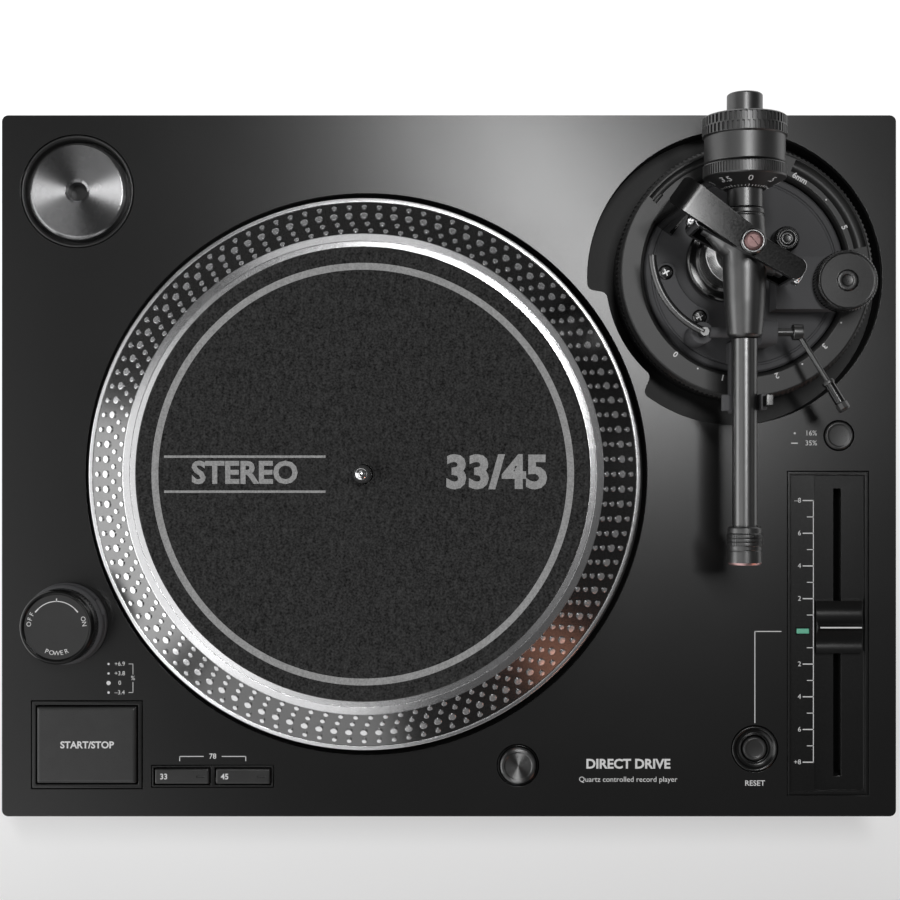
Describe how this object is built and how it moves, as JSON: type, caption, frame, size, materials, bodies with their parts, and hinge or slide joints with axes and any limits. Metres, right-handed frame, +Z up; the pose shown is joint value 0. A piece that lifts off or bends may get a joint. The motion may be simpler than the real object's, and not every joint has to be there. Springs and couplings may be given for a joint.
{
  "type": "turntable",
  "caption": "Compact direct-drive turntable: black plinth on feet, round aluminium platter with felt mat, straight tonearm with counterweight, sliding pitch control and deck buttons.",
  "frame": {"origin": "on the table, under the middle of the plinth's outline", "axes": "+X to the right along the plinth's long side, +Y to the back, +Z up; the tonearm is at the right"},
  "size_m": [0.352, 0.276, 0.1166],
  "materials": {
    "deck": "satin black powder coat",
    "black_plastic": "fine matte moulded black",
    "gloss_black": "smooth black",
    "rubber": "matte",
    "aluminium": "turned and brushed",
    "steel": "machined",
    "chrome": "polished",
    "felt": "pressed felt",
    "dark_metal": "dark satin anodised look",
    "copper": "enamelled winding",
    "magnet": "sintered ring",
    "circuit_board": "solder mask",
    "green_lens": "translucent green"
  },
  "bodies": {
    "plinth": {"face_plate": "deck", "chassis": "black_plastic", "bottom_pan": "black_plastic", "foot_front_left": "rubber", "foot_front_right": "rubber", "foot_rear_left": "rubber", "foot_rear_right": "rubber", "control_board": "circuit_board", "rear_bay": "black_plastic", "phono_jack_left": "chrome", "phono_jack_right": "chrome", "power_inlet": "black_plastic", "platter_well": "black_plastic", "motor_stator": "copper", "bearing_housing": "steel", "adapter_cup": "gloss_black", "strobe_housing": "black_plastic", "start_stop_frame": "black_plastic", "speed_frame": "black_plastic", "target_light_sleeve": "black_plastic", "pitch_panel": "black_plastic", "pitch_led": "green_lens", "pitch_fader_track": "steel", "reset_ring": "black_plastic", "arm_pit": "black_plastic"},
    "platter": {"platter": "aluminium", "rotor_magnet": "magnet", "spindle": "chrome"},
    "slipmat": {"slipmat": "felt"},
    "adapter": {"adapter_45": "aluminium"},
    "power_knob": {"power_knob": "gloss_black"},
    "start_stop_button": {"start_stop_button": "gloss_black"},
    "speed_button_33": {"speed_button_33": "gloss_black"},
    "speed_button_45": {"speed_button_45": "gloss_black"},
    "target_light": {"target_light": "dark_metal"},
    "pitch_fader": {"pitch_fader_knob": "gloss_black"},
    "pitch_range_button": {"pitch_range_button": "gloss_black"},
    "reset_button": {"reset_button": "gloss_black"},
    "ground_nut": {"ground_nut": "chrome"},
    "line_switch": {"line_switch": "black_plastic"},
    "height_ring": {"height_ring": "black_plastic"},
    "arm_base": {"arm_base": "black_plastic", "pivot_pillar": "chrome", "anti_skate_housing": "black_plastic", "arm_rest": "black_plastic", "overhead_bracket": "dark_metal", "pivot_cap": "chrome"},
    "anti_skate_knob": {"anti_skate_knob": "black_plastic"},
    "height_lock_knob": {"height_lock_knob": "black_plastic"},
    "lift_rail": {"lift_rail": "dark_metal"},
    "cue_lever": {"cue_lever": "dark_metal"},
    "arm_clip": {"arm_clip": "black_plastic"},
    "gimbal": {"gimbal_frame": "dark_metal"},
    "arm": {"arm_housing": "dark_metal", "arm_tube": "dark_metal", "counterweight_shaft": "dark_metal"},
    "locking_collar": {"locking_collar": "dark_metal"},
    "weight_bush": {"weight_bush": "black_plastic"},
    "counterweight": {"counterweight": "dark_metal"},
    "weight_dial": {"weight_dial": "black_plastic"}
  },
  "joints": [
    {"name": "platter_spin", "type": "hinge", "parent": "plinth", "child": "platter", "pos_m": [-0.0325, -0.0033, 0.074], "axis": [0, 0, 1], "continuous": true},
    {"name": "slipmat_lift", "type": "slide", "parent": "platter", "child": "slipmat", "axis": [0, 0, 1], "range_m": [0, 0.03]},
    {"name": "adapter_lift", "type": "slide", "parent": "plinth", "child": "adapter", "axis": [0, 0, 1], "range_m": [0, 0.03]},
    {"name": "power_turn", "type": "hinge", "parent": "plinth", "child": "power_knob", "pos_m": [-0.1502, -0.0619, 0.0715], "axis": [0, 0, -1], "range_deg": [0, 60]},
    {"name": "start_stop_press", "type": "slide", "parent": "plinth", "child": "start_stop_button", "axis": [0, 0, -1], "range_m": [0, 0.001], "stiffness_N_per_m": 300},
    {"name": "speed_33_press", "type": "slide", "parent": "plinth", "child": "speed_button_33", "axis": [0, 0, -1], "range_m": [0, 0.0008], "stiffness_N_per_m": 300},
    {"name": "speed_45_press", "type": "slide", "parent": "plinth", "child": "speed_button_45", "axis": [0, 0, -1], "range_m": [0, 0.0008], "stiffness_N_per_m": 300},
    {"name": "target_light_rise", "type": "slide", "parent": "plinth", "child": "target_light", "axis": [0, 0, 1], "range_m": [0, 0.02]},
    {"name": "pitch_slide", "type": "slide", "parent": "plinth", "child": "pitch_fader", "axis": [0, 1, 0], "range_m": [-0.0539, 0.0491]},
    {"name": "pitch_range_press", "type": "slide", "parent": "plinth", "child": "pitch_range_button", "axis": [0, 0, -1], "range_m": [0, 0.0008], "stiffness_N_per_m": 300},
    {"name": "reset_press", "type": "slide", "parent": "plinth", "child": "reset_button", "axis": [0, 0, -1], "range_m": [0, 0.001], "stiffness_N_per_m": 300},
    {"name": "ground_nut_turn", "type": "hinge", "parent": "plinth", "child": "ground_nut", "pos_m": [-0.03, 0.1265, 0.03], "axis": [0, 1, 0], "range_deg": [0, 720]},
    {"name": "line_switch_slide", "type": "slide", "parent": "plinth", "child": "line_switch", "axis": [1, 0, 0], "range_m": [0, 0.003]},
    {"name": "height_ring_turn", "type": "hinge", "parent": "plinth", "child": "height_ring", "pos_m": [0.115, 0.075, 0.064], "axis": [0, 0, 1], "range_deg": [-187, 0]},
    {"name": "arm_height", "type": "slide", "parent": "plinth", "child": "arm_base", "axis": [0, 0, 1], "range_m": [0, 0.0061]},
    {"name": "anti_skate_turn", "type": "hinge", "parent": "arm_base", "child": "anti_skate_knob", "pos_m": [0.15, 0.0696, 0.082], "axis": [0, 0, 1], "range_deg": [0, 270]},
    {"name": "height_lock_turn", "type": "hinge", "parent": "arm_base", "child": "height_lock_knob", "pos_m": [0.1295, 0.0869, 0.072], "axis": [0, 0, 1], "range_deg": [0, 90]},
    {"name": "cue_lift", "type": "hinge", "parent": "arm_base", "child": "cue_lever", "pos_m": [0.131, 0.05, 0.082], "axis": [-1, 0, 0], "range_deg": [0, 45]},
    {"name": "lift_rail_rise", "type": "slide", "parent": "arm_base", "child": "lift_rail", "axis": [0, 0, 1], "range_m": [0, 0.0051]},
    {"name": "arm_clip_close", "type": "hinge", "parent": "arm_base", "child": "arm_clip", "pos_m": [0.1143, 0.023, 0.1046], "axis": [0, 1, 0], "range_deg": [-90, 0]},
    {"name": "arm_yaw", "type": "hinge", "parent": "arm_base", "child": "gimbal", "pos_m": [0.108, 0.0794, 0.099], "axis": [0, 0, 1], "range_deg": [-48, 0]},
    {"name": "arm_pitch", "type": "hinge", "parent": "gimbal", "child": "arm", "pos_m": [0.108, 0.0794, 0.099], "axis": [-0.8721, 0.4894, 0], "range_deg": [0, 15]},
    {"name": "collar_turn", "type": "hinge", "parent": "arm", "child": "locking_collar", "pos_m": [0.108, -0.0294, 0.099], "axis": [0, 1, 0], "range_deg": [0, 35]},
    {"name": "weight_travel", "type": "slide", "parent": "arm", "child": "weight_bush", "axis": [0, 1, 0], "range_m": [-0.0041, 0.0041]},
    {"name": "counterweight_turn", "type": "hinge", "parent": "weight_bush", "child": "counterweight", "pos_m": [0.108, 0.1174, 0.099], "axis": [0, 1, 0], "range_deg": [-720, 720]},
    {"name": "dial_turn", "type": "hinge", "parent": "weight_bush", "child": "weight_dial", "pos_m": [0.108, 0.1044, 0.099], "axis": [0, 1, 0], "continuous": true}
  ],
  "couplings": [
    {"joint": "arm_height", "follows": "height_ring_turn", "m_per_rad": -0.0018384},
    {"joint": "lift_rail_rise", "follows": "cue_lift", "m_per_rad": 0.0063662},
    {"joint": "weight_travel", "follows": "counterweight_turn", "m_per_rad": 0.00031831}
  ]
}
